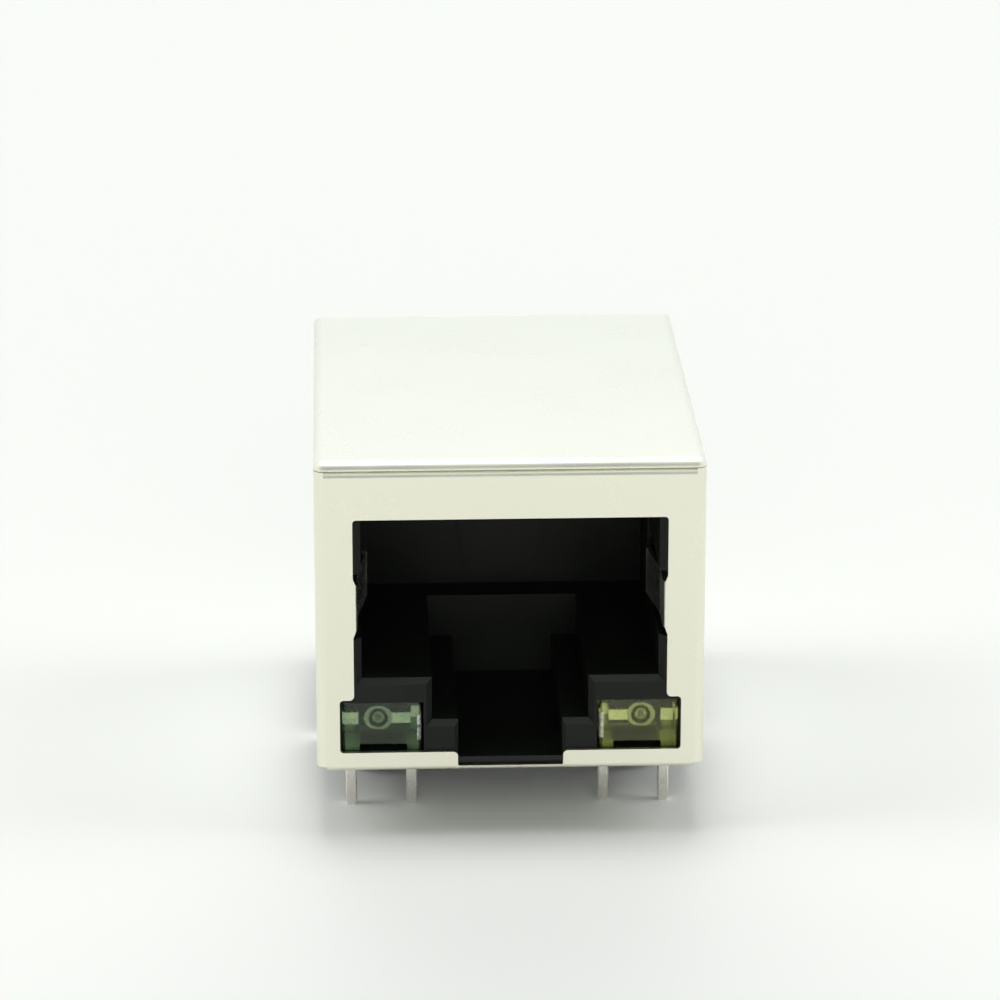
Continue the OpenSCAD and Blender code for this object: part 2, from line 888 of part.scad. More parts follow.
module contact_insert() {
    groove_z = contact_top_z - contact_d / 2 - fit_clr;
    color("#2b2b2d")
        difference() {
            union() {
                block([-block_w / 2, block_y, block_z],
                      [block_w / 2, block_y + block_l, insert_top_z]);
                // tongue with its rounded nose, and the fins between the wires above it
                block([-insert_slot_w / 2 + fit_clr, nose_y, tongue_z],
                      [insert_slot_w / 2 - fit_clr, block_y + over, tongue_z + 2 * nose_r]);
                translate([0, nose_y, loop_z])
                    rotate([0, 90, 0])
                        cylinder(h = insert_slot_w - 2 * fit_clr, r = nose_r, center = true);
                block([-insert_slot_w / 2 + fit_clr, nose_y, tongue_z + nose_r],
                      [insert_slot_w / 2 - fit_clr, block_y + over, insert_top_z]);
                comb();
            }
            for (i = [1:contact_count])
                contact_grooves(contact_x(i), contact_leg_y(i), groove_z);
        }
}

// Comb at the rear of the cavity, whose fins keep the free tips apart
module comb() {
    fin_w = contact_pitch - groove_w;
    back = cavity_back_y + rear_wall_t / 2;
    for (i = [0:contact_count])
        block([(i - contact_count / 2) * contact_pitch - fin_w / 2, cavity_back_y - comb_l, comb_z],
              [(i - contact_count / 2) * contact_pitch + fin_w / 2, back, tongue_z + nose_r]);
    block([-insert_slot_w / 2 + fit_clr, cavity_back_y - 0.3, comb_z],
          [insert_slot_w / 2 - fit_clr, block_y + over, tongue_z + nose_r]);
}

// What one contact takes out of the insert: its groove, its bend and the bore for its leg
module contact_grooves(x, leg, groove_z) {
    block([x - groove_w / 2, nose_y - over, groove_z],
          [x + groove_w / 2, leg, insert_top_z + over]);
    block([x - groove_w / 2, leg - leg_bend_r, contact_top_z - leg_bend_r - fit_clr],
          [x + groove_w / 2, leg + contact_d / 2 + 2 * fit_clr, insert_top_z + over]);
    translate([x, leg, block_z - over])
        cylinder(h = contact_top_z - block_z, d = contact_d + 2 * fit_clr);
}

// ---- board side ----

function pin_x(i) = (i - (pin_count + 1) / 2) * pin_pitch;
function pin_y(i) = i % 2 == 1 ? near_row_y : far_row_y;

// Board pin with a collar that is moulded into the base, a square post above it and a chamfered tip
module board_pin(i) {
    tip = 0.12;
    wrap_w = 0.7 * pin_d;
    color("silver")
        translate([pin_x(i), pin_y(i), 0]) {
            translate([0, 0, -pin_l])
                cylinder(h = tip, d1 = pin_d - 2 * tip, d2 = pin_d);
            translate([0, 0, tip - pin_l])
                cylinder(h = pin_l - tip, d = pin_d);
            cylinder(h = base_plate_t, d = collar_d);
            block([-wrap_w / 2, -wrap_w / 2, base_plate_t],
                  [wrap_w / 2, wrap_w / 2, pin_top_z]);
        }
}

module pin_base() {
    color("#242426")
        difference() {
            union() {
                block([-base_w / 2, base_y, 0],
                      [base_w / 2, base_back_y, board_z]);
                both_sides()
                    block([latch_x - latch_w / 2 + 0.06, base_back_y - over, latch_z - latch_h / 2 + 0.06],
                          [latch_x + latch_w / 2 - 0.06, back_y - 0.02, latch_z + latch_h / 2 - 0.06]);
            }
            block([-base_w / 2 + base_rim_t, base_y + base_rim_t, base_plate_t],
                  [base_w / 2 - base_rim_t, base_back_y - base_rim_t, board_z + over]);
            for (i = [1:contact_count])
                translate([contact_x(i), contact_leg_y(i), tail_end_z - 0.3])
                    cylinder(h = over + 1, d = contact_d + 0.3);
            for (i = [1:pin_count])
                translate([pin_x(i), pin_y(i), -over])
                    cylinder(h = base_plate_t + 2 * over, d = collar_d + 2 * fit_clr);
        }
}

module inner_board() {
    color("seagreen")
        difference() {
            block([-base_w / 2, base_y, board_z],
                  [base_w / 2, base_back_y, board_top_z]);
            for (i = [1:contact_count])
                translate([contact_x(i), contact_leg_y(i), board_z - over])
                    cylinder(h = board_t + 2 * over, d = contact_d + 0.1);
            for (i = [1:pin_count])
                translate([pin_x(i), pin_y(i), board_z - over])
                    cylinder(h = board_t + 2 * over, d = pin_d + 0.1);
        }
}

// Chip resistor with wrapped end caps, long way along Y
module resistor(i) {
    size = [0.8, 1.6, 0.42];
    cap_l = 0.3;
    skin = 0.03;
    x = [-1, 1, -1, 1][i - 1] * (case_w / 2 - 1.2);
    y = case_y + 2.1 + (i > 2 ? 2 : 0);
    color("#2f3538")
        translate([x - size.x / 2, y - size.y / 2, board_top_z]) {
            translate([skin, 0, skin])
                cube([size.x - 2 * skin, size.y, size.z - 2 * skin]);
            for (end_y = [0, size.y - cap_l])
                translate([0, end_y, 0])
                    cube([size.x, cap_l, size.z]);
        }
}

// High-voltage block capacitor between the pins and the back plate, long way along X
module surge_capacitor() {
    size = [4.5, 1.6, 1.5];
    cap_l = 0.5;
    skin = 0.04;
    color("tan")
        translate([-size.x / 2, case_back_y - size.y - 0.6, board_top_z]) {
            translate([0, skin, skin])
                cube([size.x, size.y - 2 * skin, size.z - 2 * skin]);
            for (end_x = [0, size.x - cap_l])
                translate([end_x, 0, 0])
                    cube([cap_l, size.y, size.z]);
        }
}

// ---- magnetics ----

module magnetics_case() {
    foot_w = 0.9;
    color("#26262a") {
        difference() {
            block([-case_w / 2, case_y, case_z],
                  [case_w / 2, case_back_y, case_top_z]);
            for (x = [-bay_x, bay_x], level = [0, 1])
                block([x - bay_w / 2, case_back_y - bay_l, bay_floor_z(level)],
                      [x + bay_w / 2, case_back_y + over, bay_floor_z(level) + bay_h]);
        }
        for (x = [-case_w / 2, case_w / 2 - foot_w], y = [case_y, case_back_y - foot_w])
            block([x, y, board_top_z],
                  [x + foot_w, y + foot_w, case_z + case_wall]);
    }
}

function bay_floor_z(level) = case_z + case_wall + level * (bay_h + case_wall);
function core_outer_d(kind) = kind == "choke" ? core_d - choke_step : core_d;
function core_level(kind) = kind == "choke" ? 0 : 1;

// Puts a core or a winding in its bay, just clear of the bay's floor
module in_bay(kind, side) {
    translate([side * bay_x, bay_y, bay_floor_z(core_level(kind)) + fit_clr + winding_t])
        children();
}

module core(kind, side) {
    r = core_outer_d(kind) / 2;
    color("dimgray")
        in_bay(kind, side)
            rotate_extrude()
                translate([r - core_ring_w, 0])
                    square([core_ring_w, core_h]);
}

// Winding: a thin sleeve round the core's section, with a rib for every turn
module winding(kind, side) {
    r = core_outer_d(kind) / 2;
    sleeve_t = 0.08;
    turn_w = 0.2;
    color("chocolate")
        in_bay(kind, side)
            difference() {
                union() {
                    rotate_extrude()
                        translate([r - core_ring_w - sleeve_t, -sleeve_t])
                            square([core_ring_w + 2 * sleeve_t, core_h + 2 * sleeve_t]);
                    for (i = [0:turns - 1])
                        rotate(i * 360 / turns)
                            block([r - core_ring_w - winding_t, -turn_w / 2, -winding_t],
                                  [r + winding_t, turn_w / 2, core_h + winding_t]);
                }
                rotate_extrude()
                    translate([r - core_ring_w - fit_clr / 2, -fit_clr / 2])
                        square([core_ring_w + fit_clr, core_h + fit_clr]);
            }
}

// ---- assembly ----

front_shield();
top_cover();
housing();
contact_insert();
inner_board();
pin_base();
magnetics_case();
for (i = [1:contact_count])
    contact(i);
for (i = [1:pin_count])
    board_pin(i);
for (s = [0, 1]) {
    lens(s);
    cup_lead(s);
    post_lead(s);
    light_chip(s);
    for (kind = ["transformer", "choke"]) {
        core(kind, 2 * s - 1);
        winding(kind, 2 * s - 1);
    }
}
for (i = [1:4])
    resistor(i);
surge_capacitor();
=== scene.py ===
"""Looks of a shielded board jack with magnetics and two indicators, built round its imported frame."""

import logging
import math
from dataclasses import dataclass, field
from enum import Enum
from typing import Callable, Iterable, Union

import bpy
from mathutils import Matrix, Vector


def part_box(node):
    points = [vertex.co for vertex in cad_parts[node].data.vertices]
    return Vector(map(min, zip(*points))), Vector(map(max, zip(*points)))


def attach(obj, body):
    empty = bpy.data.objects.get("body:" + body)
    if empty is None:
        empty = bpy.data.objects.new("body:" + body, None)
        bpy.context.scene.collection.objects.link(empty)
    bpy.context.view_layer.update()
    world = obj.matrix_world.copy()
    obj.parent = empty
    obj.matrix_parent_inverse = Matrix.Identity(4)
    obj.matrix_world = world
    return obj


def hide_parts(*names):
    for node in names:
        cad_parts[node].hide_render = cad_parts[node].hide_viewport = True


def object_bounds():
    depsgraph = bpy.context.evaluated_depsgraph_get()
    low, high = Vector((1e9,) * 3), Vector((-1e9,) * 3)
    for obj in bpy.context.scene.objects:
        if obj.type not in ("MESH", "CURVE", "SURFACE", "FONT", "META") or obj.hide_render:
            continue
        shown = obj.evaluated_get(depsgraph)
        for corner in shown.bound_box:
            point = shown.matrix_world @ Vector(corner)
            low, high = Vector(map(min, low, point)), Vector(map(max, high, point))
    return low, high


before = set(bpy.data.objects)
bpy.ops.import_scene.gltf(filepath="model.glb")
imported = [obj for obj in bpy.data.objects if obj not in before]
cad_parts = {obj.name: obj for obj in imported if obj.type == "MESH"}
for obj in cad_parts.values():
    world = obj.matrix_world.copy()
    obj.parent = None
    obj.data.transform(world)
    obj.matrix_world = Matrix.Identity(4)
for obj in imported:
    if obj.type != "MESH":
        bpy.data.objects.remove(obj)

logging.basicConfig(level=logging.INFO, format="%(name)s: %(message)s")
LOG = logging.getLogger("board_jack")

MM = 0.001
ROOT_BODY = "root"
CAD_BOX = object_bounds()

SAME_PLACE = 1e-6
SPOT_EDGE = 0.08
SENSOR_W = 36.0
TINNED: tuple[float, float, float] = (0.68, 0.68, 0.66)

Rgb = tuple[float, float, float]
Socket = bpy.types.NodeSocket
Feed = Union[Socket, float, Rgb]


class Side(Enum):
    """The two indicators, seen from the plug's side."""

    LEFT = -1
    RIGHT = 1

    @property
    def label(self) -> str:
        """The word that the frame's nodes use for this side."""
        return self.name.lower()


class Axis(Enum):
    """Index of a direction in the frame."""

    X = 0
    Y = 1
    Z = 2


# ---------------------------------------------------------------- shader helpers


class ShaderTree:
    """Wires up one shader tree, a material's, a group's or the world's."""

    def __init__(self, tree: bpy.types.NodeTree) -> None:
        """Takes the tree to fill.

        Args:
            tree: an empty node tree.
        """
        self.tree = tree

    def add(self, kind: str, **settings: object) -> bpy.types.Node:
        """Adds a node.

        Args:
            kind: the node's type name without its ShaderNode prefix.
            settings: properties to set on the node.

        Returns:
            The new node.
        """
        prefix = "" if kind.startswith("Node") else "ShaderNode"
        node = self.tree.nodes.new(prefix + kind)
        for name, value in settings.items():
            setattr(node, name, value)
        return node

    def feed(self, socket: Socket, source: Feed) -> None:
        """Sets an input to a value, or links it to another node's output.

        Args:
            socket: the input.
            source: an output socket, a number or a colour.
        """
        if isinstance(source, bpy.types.NodeSocket):
            self.tree.links.new(source, socket)
        elif isinstance(source, tuple) and len(source) == 3 and len(socket.default_value) == 4:
            socket.default_value = (*source, 1.0)
        else:
            socket.default_value = source

    def maths(self, operation: str, first: Feed, second: Feed = 0.0, third: Feed = 0.0) -> Socket:
        """Adds a Math node.

        Args:
            operation: the Math node's operation.
            first: its first input.
            second: its second input.
            third: its third input.

        Returns:
            Its output.
        """
        node = self.add("Math", operation=operation)
        for socket, source in zip(node.inputs, (first, second, third)):
            self.feed(socket, source)
        return node.outputs[0]

    def spread(self, source: Feed, low: float, high: float) -> Socket:
        """Maps 0 to 1 onto low to high.

        Args:
            source: the value to map.
            low: what 0 becomes.
            high: what 1 becomes.

        Returns:
            The mapped value.
        """
        node = self.add("MapRange", interpolation_type="LINEAR")
        self.feed(node.inputs["Value"], source)
        node.inputs["To Min"].default_value = low
        node.inputs["To Max"].default_value = high
        return node.outputs["Result"]

    def ease(self, source: Feed, start: float, end: float) -> Socket:
        """Eases from 0 at start to 1 at end.

        Args:
            source: the value to map.
            start: the value that becomes 0.
            end: the value that becomes 1.

        Returns:
            The mapped value.
        """
        node = self.add("MapRange", interpolation_type="SMOOTHSTEP")
        self.feed(node.inputs["Value"], source)
        node.inputs["From Min"].default_value = start
        node.inputs["From Max"].default_value = end
        return node.outputs["Result"]

    def blend(self, share: Feed, first: Feed, second: Feed) -> Socket:
        """Mixes two colours.

        Args:
            share: how much of the second colour there is, 0 to 1.
            first: the first colour.
            second: the second colour.

        Returns:
            The mixed colour.
        """
        node = self.add("Mix", data_type="RGBA")
        self.feed(node.inputs[0], share)
        self.feed(node.inputs[6], first)
        self.feed(node.inputs[7], second)
        return node.outputs[2]

    def place(self) -> Socket:
        """Returns the point's own place on the piece, in the frame's metres."""
        return self.add("TexCoord").outputs["Object"]

    def noise(self, place: Socket, scale: Feed, detail: float = 2.0,
              stretch: Rgb = (1.0, 1.0, 1.0)) -> Socket:
        """Adds a noise pattern.

        Args:
            place: the coordinates.
            scale: cells per metre.
            detail: octaves of finer noise.
            stretch: how much tighter the pattern is along each axis.

        Returns:
            The noise, around 0.5.
        """
        mapping = self.add("Mapping")
        mapping.inputs["Scale"].default_value = stretch
        self.feed(mapping.inputs["Vector"], place)
        node = self.add("TexNoise")
        self.feed(node.inputs["Vector"], mapping.outputs[0])
        self.feed(node.inputs["Scale"], scale)
        node.inputs["Detail"].default_value = detail
        return node.outputs["Fac"]


class Effects:
    """Surface effects that several finishes share, each a node group built once."""

    _built: dict[str, bpy.types.NodeTree] = {}

    @classmethod
    def _group(cls, name: str, inputs: dict[str, float], outputs: Iterable[str],
               fill: Callable[[ShaderTree, bpy.types.Node], dict[str, Socket]]) -> bpy.types.NodeTree:
        """Makes a node group, or returns the one made before.

        Args:
            name: the group's name.
            inputs: number inputs, each with its usual value.
            outputs: names of its number outputs.
            fill: wires the group from its input node, and returns the sockets for its outputs.

        Returns:
            The group.
        """
        if name not in cls._built:
            tree = bpy.data.node_groups.new(name, "ShaderNodeTree")
            for label, value in inputs.items():
                item = tree.interface.new_socket(label, in_out="INPUT", socket_type="NodeSocketFloat")
                item.default_value = value
            for label in outputs:
                tree.interface.new_socket(label, in_out="OUTPUT", socket_type="NodeSocketFloat")
            shader = ShaderTree(tree)
            source = shader.add("NodeGroupInput")
            sink = shader.add("NodeGroupOutput")
            for label, socket in fill(shader, source).items():
                shader.feed(sink.inputs[label], socket)
            cls._built[name] = tree
        return cls._built[name]

    @staticmethod
    def _use(shader: ShaderTree, tree: bpy.types.NodeTree, values: dict[str, Feed]) -> bpy.types.Node:
        """Places a group in a material.

        Args:
            shader: the material's tree.
            tree: the group.
            values: its inputs.

        Returns:
            The group node.
        """
        node = shader.add("Group")
        node.node_tree = tree
        for label, value in values.items():
            shader.feed(node.inputs[label], value)
        return node

    @classmethod
    def mottle(cls, shader: ShaderTree, cell: float) -> Socket:
        """Slow, cloudy unevenness.

        Args:
            shader: the material's tree.
            cell: size of a cloud in metres.

        Returns:
            A mask from 0 to 1.
        """

        def fill(inner: ShaderTree, source: bpy.types.Node) -> dict[str, Socket]:
            """Cloudy noise with its contrast raised."""
            wide = inner.noise(inner.place(), source.outputs["Cells"], 3.0)
            return {"Mask": inner.ease(wide, 0.3, 0.7)}

        tree = cls._group("mottle", {"Cells": 400.0}, ["Mask"], fill)
        return cls._use(shader, tree, {"Cells": 1.0 / cell}).outputs["Mask"]

    @classmethod
    def grain(cls, shader: ShaderTree, cell: float) -> Socket:
        """Fine grain, as a spark-eroded mould or a matt plating leaves.

        Args:
            shader: the material's tree.
            cell: size of a grain in metres.

        Returns:
            A height from 0 to 1.
        """

        def fill(inner: ShaderTree, source: bpy.types.Node) -> dict[str, Socket]:
            """Fine noise over a coarser one."""
            place = inner.place()
            fine = inner.noise(place, source.outputs["Cells"], 1.0)
            coarse = inner.noise(place, inner.maths("MULTIPLY", source.outputs["Cells"], 0.31), 1.0)
            return {"Height": inner.maths("MULTIPLY_ADD", fine, 0.6, inner.maths("MULTIPLY", coarse, 0.4))}

        tree = cls._group("grain", {"Cells": 12000.0}, ["Height"], fill)
        return cls._use(shader, tree, {"Cells": 1.0 / cell}).outputs["Height"]

    @classmethod
    def rolling(cls, shader: ShaderTree, cell: float) -> Socket:
        """Faint lines that rolling leaves in sheet and drawing leaves in wire, along the piece.

        Args:
            shader: the material's tree.
            cell: width of a line in metres.

        Returns:
            A height from 0 to 1.
        """

        def fill(inner: ShaderTree, source: bpy.types.Node) -> dict[str, Socket]:
            """Noise drawn out along Y."""
            lines = inner.noise(inner.place(), source.outputs["Cells"], 2.0, (1.0, 0.03, 1.0))
            return {"Height": lines}

        tree = cls._group("rolling_lines", {"Cells": 9000.0}, ["Height"], fill)
        return cls._use(shader, tree, {"Cells": 1.0 / cell}).outputs["Height"]

    @classmethod
    def beyond(cls, shader: ShaderTree, axis: Axis, edge: float, soft: float) -> Socket:
        """Tells what lies past a plane, such as the plated end of a piece.

        Args:
            shader: the material's tree.
            axis: the direction that is measured.
            edge: where the plane is, in metres.
            soft: width of the change, in metres.

        Returns:
            A mask, 0 below the plane and 1 above it.
        """

        def fill(inner: ShaderTree, source: bpy.types.Node) -> dict[str, Socket]:
            """A short ramp at the plane."""
            split = inner.add("SeparateXYZ")
            inner.feed(split.inputs[0], inner.place())
            past = inner.maths("SUBTRACT", split.outputs[axis.value], source.outputs["Edge"])
            ramp = inner.maths("DIVIDE", past, source.outputs["Soft"])
            clamp = inner.add("Clamp")
            inner.feed(clamp.inputs["Value"], inner.maths("ADD", ramp, 0.5))
            return {"Mask": clamp.outputs[0]}

        tree = cls._group(f"beyond_{axis.name}", {"Edge": 0.0, "Soft": 0.0001}, ["Mask"], fill)
        return cls._use(shader, tree, {"Edge": edge, "Soft": soft}).outputs["Mask"]

    @classmethod
    def spot(cls, shader: ShaderTree, x: float, z: float, radius: float) -> Socket:
        """Tells what lies within a round spot, seen from the front.

        Args:
            shader: the material's tree.
            x: the spot's middle, in metres.
            z: its height, in metres.
            radius: its radius, in metres.

        Returns:
            A mask, 1 inside the spot and 0 outside it.
        """

        def fill(inner: ShaderTree, source: bpy.types.Node) -> dict[str, Socket]:
            """Distance from the middle, turned into a soft-edged disc."""
            split = inner.add("SeparateXYZ")
            inner.feed(split.inputs[0], inner.place())
            away_x = inner.maths("SUBTRACT", split.outputs["X"], source.outputs["X"])
            away_z = inner.maths("SUBTRACT", split.outputs["Z"], source.outputs["Z"])
            across = inner.maths("MULTIPLY", away_z, away_z)
            squared = inner.maths("MULTIPLY_ADD", away_x, away_x, across)
            share = inner.maths("DIVIDE", inner.maths("SQRT", squared), source.outputs["Radius"])
            return {"Mask": inner.ease(share, 1.0 + SPOT_EDGE, 1.0 - SPOT_EDGE)}

        tree = cls._group("round_spot", {"X": 0.0, "Z": 0.0, "Radius": 0.0005}, ["Mask"], fill)
        return cls._use(shader, tree, {"X": x, "Z": z, "Radius": radius}).outputs["Mask"]


@dataclass(frozen=True)
class Finish:
    """What every finish has. A kind of finish adds its own values and wires them in wire()."""

    name: str

    def build(self) -> bpy.types.Material:
        """Builds the material.

        Returns:
            The new material.
        """
        material = bpy.data.materials.new(self.name)
        material.use_nodes = True
        material.node_tree.nodes.clear()
        shader = ShaderTree(material.node_tree)
        surface = shader.add("BsdfPrincipled")
        output = shader.add("OutputMaterial")
        shader.feed(output.inputs["Surface"], surface.outputs[0])
        self.wire(shader, surface)
        return material

    def wire(self, shader: ShaderTree, surface: bpy.types.Node) -> None:
        """Wires the finish into the Principled shader.

        Args:
            shader: the material's tree.
            surface: the Principled shader.
        """
        raise NotImplementedError

    @staticmethod
    def raise_surface(shader: ShaderTree, surface: bpy.types.Node, height: Socket, depth: float) -> None:
        """Gives the surface a relief.

        Args:
            shader: the material's tree.
            surface: the Principled shader.
            height: the relief, from 0 to 1.
            depth: its depth in metres.
        """
        bump = shader.add("Bump")
        bump.inputs["Strength"].default_value = 1.0
        bump.inputs["Distance"].default_value = depth
        shader.feed(bump.inputs["Height"], height)
        shader.feed(surface.inputs["Normal"], bump.outputs[0])


@dataclass(frozen=True)
class PlatedMetal(Finish):
    """Plated sheet, strip or wire: a pale metal with cloudy gloss and faint rolling lines."""

    tone: Rgb
    shade: Rgb
    roughness: float
    line_cell: float = 0.12 * MM
    line_depth: float = 0.0006 * MM
    cloud: float = 3.0 * MM

    def colour(self, shader: ShaderTree, clouds: Socket) -> Socket:
        """Colours the metal.

        Args:
            shader: the material's tree.
            clouds: the slow unevenness, 0 to 1.

        Returns:
            The colour.
        """
        return shader.blend(clouds, self.tone, self.shade)

    def wire(self, shader: ShaderTree, surface: bpy.types.Node) -> None:
        """Wires the metal. See Finish.wire."""
        clouds = Effects.mottle(shader, self.cloud)
        lines = Effects.rolling(shader, self.line_cell)
        surface.inputs["Metallic"].default_value = 1.0
        shader.feed(surface.inputs["Base Color"], self.colour(shader, clouds))
        gloss = shader.spread(clouds, self.roughness - 0.04, self.roughness + 0.04)
        shader.feed(surface.inputs["Roughness"], gloss)
        self.raise_surface(shader, surface, lines, self.line_depth)


@dataclass(frozen=True)
class ShieldSheet(PlatedMetal):
    """The shield's bright nickel plating, with painted shade that darkens it towards the rear and a painted
    warm reflection of the table on its front face.
    """

    # rear: painted shade, the colour the sheet is given towards the back; face: painted warm reflection of
    # the table on the front face.
    rear: Rgb = (0.77, 0.795, 0.735)
    face: Rgb = (0.84, 0.85, 0.745)
    face_y: float = 0.0
    rear_y: float = 0.0
    face_depth: float = 0.22 * MM
    face_soft: float = 0.12 * MM

    def colour(self, shader: ShaderTree, clouds: Socket) -> Socket:
        """Colours the sheet. See PlatedMetal.colour."""
        middle = (self.face_y + self.rear_y) / 2
        # Painted shade: the colour goes over to the rear colour towards the back of the shield.
        rear_shade_share = Effects.beyond(shader, Axis.Y, middle, self.rear_y - self.face_y)
        # Painted reflection: within face_depth of the front, the sheet takes the warm face colour.
        behind = Effects.beyond(shader, Axis.Y, self.face_y + self.face_depth, self.face_soft)
        front = shader.maths("SUBTRACT", 1.0, behind)
        plain = shader.blend(clouds, self.tone, self.shade)
        along = shader.blend(rear_shade_share, plain, self.rear)
        return shader.blend(front, along, self.face)


@dataclass(frozen=True)
class CupMetal(PlatedMetal):
    """Tinned lead frame with painted shade in its round cup, darker than the strip."""

    # Painted shade that fills the cup's hollow.
    painted_cup_shade: Rgb = (0.40, 0.41, 0.39)
    cup_x: float = 0.0
    cup_z: float = 0.0
    cup_r: float = 0.57 * MM

    def colour(self, shader: ShaderTree, clouds: Socket) -> Socket:
        """Colours the lead frame. See PlatedMetal.colour."""
        # Painted shade: inside the round spot, the colour goes over to the darker cup colour.
        inside = Effects.spot(shader, self.cup_x, self.cup_z, self.cup_r)
        return shader.blend(inside, shader.blend(clouds, self.tone, self.shade), self.painted_cup_shade)


@dataclass(frozen=True)
class PartPlatedMetal(Finish):
    """Metal with one plating above a plane and another below it, such as a contact wire."""

    above: Rgb
    below: Rgb
    plane: float
    axis: Axis
    roughness: float

    def wire(self, shader: ShaderTree, surface: bpy.types.Node) -> None:
        """Wires the metal. See Finish.wire."""
        past = Effects.beyond(shader, self.axis, self.plane, 0.1 * MM)
        lines = Effects.rolling(shader, 0.06 * MM)
        clouds = Effects.mottle(shader, 0.8 * MM)
        surface.inputs["Metallic"].default_value = 1.0
        shader.feed(surface.inputs["Base Color"], shader.blend(past, self.below, self.above))
        gloss = shader.spread(clouds, self.roughness - 0.05, self.roughness + 0.05)
        shader.feed(surface.inputs["Roughness"], gloss)
        self.raise_surface(shader, surface, lines, 0.0005 * MM)


@dataclass(frozen=True)
class MouldedPlastic(Finish):
    """Moulded thermoplastic with the mould's fine grain and slightly uneven gloss."""

    tone: Rgb
    shade: Rgb
    roughness: float
    grain_cell: float = 0.07 * MM
    grain_depth: float = 0.003 * MM
    gloss_level: float = 0.3

    def wire(self, shader: ShaderTree, surface: bpy.types.Node) -> None:
        """Wires the plastic. See Finish.wire."""
        surface.inputs["Specular IOR Level"].default_value = self.gloss_level
        clouds = Effects.mottle(shader, 2.5 * MM)
        grain = Effects.grain(shader, self.grain_cell)
        shader.feed(surface.inputs["Base Color"], shader.blend(clouds, self.tone, self.shade))
        gloss = shader.spread(clouds, self.roughness - 0.05, self.roughness + 0.06)
        shader.feed(surface.inputs["Roughness"], gloss)
        self.raise_surface(shader, surface, grain, self.grain_depth)


@dataclass(frozen=True)
class TintedEpoxy(Finish):
    """Clear cast epoxy with a tint, a little hazy, with a slight orange peel."""

    tint: Rgb
    deep_tint: Rgb
    clearness: float
    haze: float = 0.22
    ior: float = 1.4

    def wire(self, shader: ShaderTree, surface: bpy.types.Node) -> None:
        """Wires the epoxy. See Finish.wire."""
        clouds = Effects.mottle(shader, 1.2 * MM)
        shader.feed(surface.inputs["Base Color"], shader.blend(clouds, self.tint, self.deep_tint))
        shader.feed(surface.inputs["Roughness"], shader.spread(clouds, self.haze - 0.03, self.haze + 0.03))
        surface.inputs["Transmission Weight"].default_value = self.clearness
        surface.inputs["IOR"].default_value = self.ior
        self.raise_surface(shader, surface, Effects.grain(shader, 0.4 * MM), 0.002 * MM)


@dataclass(frozen=True)
class PaintedGlintEpoxy(Finish):
    """Epoxy at a rounded corner with a painted highlight in pale flecks, where the lens's rounding catches a
    glint.
    """

    painted_glint: Rgb
    clear: Rgb

    def wire(self, shader: ShaderTree, surface: bpy.types.Node) -> None:
        """Wires the corner's painted highlight. See Finish.wire."""
        glint_specks = Effects.mottle(shader, 0.18 * MM)
        # Painted highlight: pale flecks over the tinted epoxy.
        shader.feed(surface.inputs["Base Color"], shader.blend(glint_specks, self.painted_glint, self.clear))
        shader.feed(surface.inputs["Roughness"], shader.spread(glint_specks, 0.45, 0.3))
        self.raise_surface(shader, surface, Effects.grain(shader, 0.08 * MM), 0.01 * MM)


@dataclass(frozen=True)
class Laminate(Finish):
    """Circuit board under solder resist, whose glass weave shows through faintly."""

    tone: Rgb
    shade: Rgb
    edge: Rgb
    thread: float = 0.4 * MM

    def wire(self, shader: ShaderTree, surface: bpy.types.Node) -> None:
        """Wires the laminate. See Finish.wire."""
        warp = shader.noise(shader.place(), 1.0 / self.thread, 1.0, (1.0, 0.12, 1.0))
        weft = shader.noise(shader.place(), 1.0 / self.thread, 1.0, (0.12, 1.0, 1.0))
        weave = shader.maths("MULTIPLY", warp, weft)
        resist = shader.blend(Effects.mottle(shader, 2.0 * MM), self.tone, self.shade)
        flat = shader.add("NewGeometry")
        split = shader.add("SeparateXYZ")
        shader.feed(split.inputs[0], flat.outputs["True Normal"])
        facing = shader.maths("ABSOLUTE", split.outputs[Axis.Z.value])
        shader.feed(surface.inputs["Base Color"], shader.blend(facing, self.edge, resist))
        shader.feed(surface.inputs["Roughness"], shader.spread(weave, 0.3, 0.5))
        self.raise_surface(shader, surface, weave, 0.006 * MM)


@dataclass(frozen=True)
class WoundWire(Finish):
    """Enamelled copper wire, glossy, with turns that differ a little."""

    tone: Rgb
    shade: Rgb
    wire_d: float = 0.12 * MM

    def wire(self, shader: ShaderTree, surface: bpy.types.Node) -> None:
        """Wires the winding. See Finish.wire."""
        strands = Effects.grain(shader, self.wire_d)
        surface.inputs["Metallic"].default_value = 0.8
        shader.feed(surface.inputs["Base Color"], shader.blend(strands, self.tone, self.shade))
        shader.feed(surface.inputs["Roughness"], shader.spread(strands, 0.25, 0.4))
        surface.inputs["Coat Weight"].default_value = 0.6
        self.raise_surface(shader, surface, strands, 0.02 * MM)


@dataclass(frozen=True)
class CappedChip(Finish):
    """Surface-mounted chip: a ceramic body with tinned caps at both ends."""

    body: Rgb
    caps: Rgb
    axis: Axis
    low_cap: float
    high_cap: float

    def wire(self, shader: ShaderTree, surface: bpy.types.Node) -> None:
        """Wires the chip. See Finish.wire."""
        soft = 0.01 * MM
        high = Effects.beyond(shader, self.axis, self.high_cap, soft)
        low = shader.maths("SUBTRACT", 1.0, Effects.beyond(shader, self.axis, self.low_cap, soft))
        ends = shader.maths("MAXIMUM", low, high)
        clouds = Effects.mottle(shader, 0.5 * MM)
        body = shader.blend(clouds, self.body, tuple(0.8 * c for c in self.body))
        shader.feed(surface.inputs["Base Color"], shader.blend(ends, body, self.caps))
        shader.feed(surface.inputs["Metallic"], ends)
        shader.feed(surface.inputs["Roughness"], shader.spread(clouds, 0.3, 0.45))
        self.raise_surface(shader, surface, Effects.grain(shader, 0.05 * MM), 0.003 * MM)


# ---------------------------------------------------------------- modelling helpers


